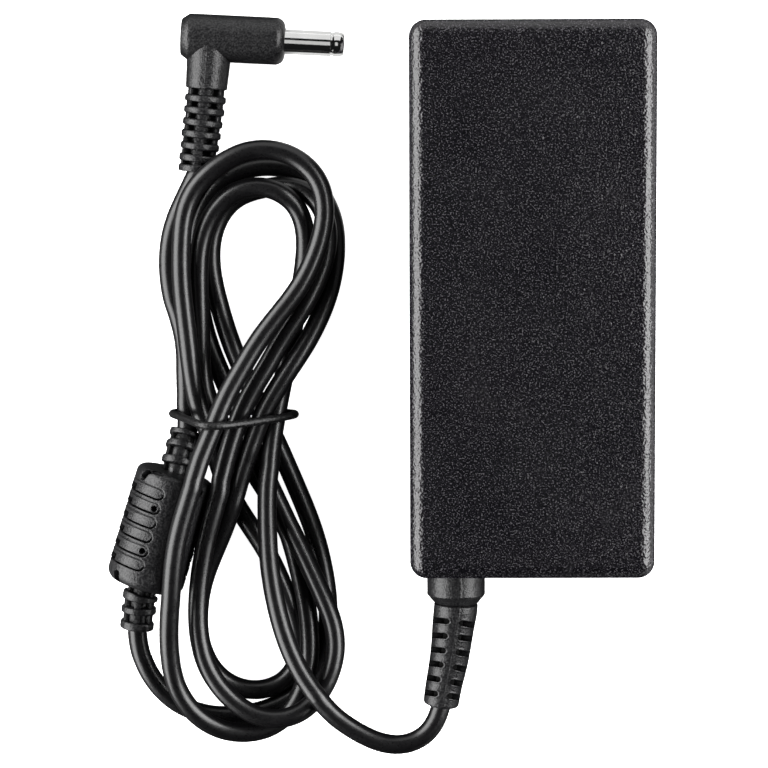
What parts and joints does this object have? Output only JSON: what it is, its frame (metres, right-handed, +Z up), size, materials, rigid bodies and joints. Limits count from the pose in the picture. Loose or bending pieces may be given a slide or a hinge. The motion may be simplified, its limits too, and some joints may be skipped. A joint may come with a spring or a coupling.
{
  "type": "laptop power adapter",
  "caption": "Black laptop power adapter: plain brick with a mains inlet, moulded cord boot, tied figure-of-eight cord with a ferrite choke, and a right-angle barrel plug.",
  "frame": {"origin": "centre of the brick's underside, on the surface it rests on", "axes": "+Z up, +Y along the brick towards the mains inlet, +X away from the coiled cord"},
  "size_m": [0.1079, 0.1477, 0.03],
  "materials": {
    "case_plastic": "fine spark-eroded grain, near black",
    "label_film": "smooth satin film, blank",
    "socket_plastic": "matte",
    "pin_metal": "nickel plated",
    "moulded_pvc": "matte moulded PVC, fine texture",
    "cord_pvc": "satin extruded PVC",
    "tie_rubber": "smooth satin rubber",
    "plated_metal": "bright nickel",
    "gold_pin": "bright",
    "insulator": "matte",
    "board": "solder mask",
    "sheet": "thin film",
    "black_epoxy": "matte epoxy",
    "film_capacitor": "satin",
    "ceramic_blue": "glossy coating",
    "capacitor_sleeve": "shrink sleeve",
    "ferrite": "sintered, dull",
    "copper_winding": "enamelled copper",
    "winding_tape": "polyester tape",
    "heatsink_metal": "mill finish",
    "copper_foil": "foil",
    "glass_ceramic": "sleeved ceramic",
    "wire_red": "satin",
    "wire_black": "satin"
  },
  "bodies": {
    "brick": {"bottom_case": "case_plastic", "top_case": "case_plastic", "rating_label": "label_film", "ac_inlet_body": "socket_plastic", "inlet_pin_line": "pin_metal", "inlet_pin_neutral": "pin_metal", "inlet_pin_earth": "pin_metal", "insulating_sheet": "sheet", "pcb": "board", "fuse": "glass_ceramic", "x_capacitor": "film_capacitor", "common_mode_choke": "copper_winding", "bridge_rectifier": "black_epoxy", "y_capacitor": "ceramic_blue", "bulk_capacitor": "capacitor_sleeve", "primary_heatsink": "heatsink_metal", "power_mosfet": "black_epoxy", "controller_chip": "black_epoxy", "transformer_core": "ferrite", "transformer_winding": "winding_tape", "optocoupler": "black_epoxy", "secondary_heatsink": "heatsink_metal", "output_rectifier": "black_epoxy", "output_capacitor_1": "capacitor_sleeve", "output_capacitor_2": "capacitor_sleeve", "output_choke": "copper_winding", "emi_shield": "copper_foil", "cord_boot": "moulded_pvc", "cord_in_boot": "cord_pvc", "inner_wire_positive": "wire_red", "inner_wire_negative": "wire_black"},
    "lead": {"cord_lead": "cord_pvc"},
    "coil": {"cord_coil": "cord_pvc", "choke_jacket": "moulded_pvc", "ferrite_core": "ferrite"},
    "tie": {"cable_tie": "tie_rubber"},
    "plug": {"plug_body": "moulded_pvc", "cord_in_plug": "cord_pvc", "plug_barrel": "plated_metal", "plug_insulator": "insulator", "plug_centre_pin": "gold_pin"}
  },
  "joints": [
    {"name": "cord_swing", "type": "hinge", "parent": "brick", "child": "lead", "pos_m": [-0.01808, -0.08354, 0.01255], "axis": [0, 0, 1], "range_deg": [-3, 45]},
    {"name": "bundle_swing", "type": "hinge", "parent": "lead", "child": "coil", "pos_m": [-0.03646, -0.08631, 0.01301], "axis": [0, 0, 1], "range_deg": [-2, 20]},
    {"name": "plug_swing", "type": "hinge", "parent": "coil", "child": "plug", "pos_m": [-0.06689, 0.0229, 0.00463], "axis": [0, 0, 1], "range_deg": [0, 45]},
    {"name": "tie_slide", "type": "slide", "parent": "coil", "child": "tie", "axis": [0, 1, 0], "range_m": [-0.0005, 0.0008]}
  ]
}
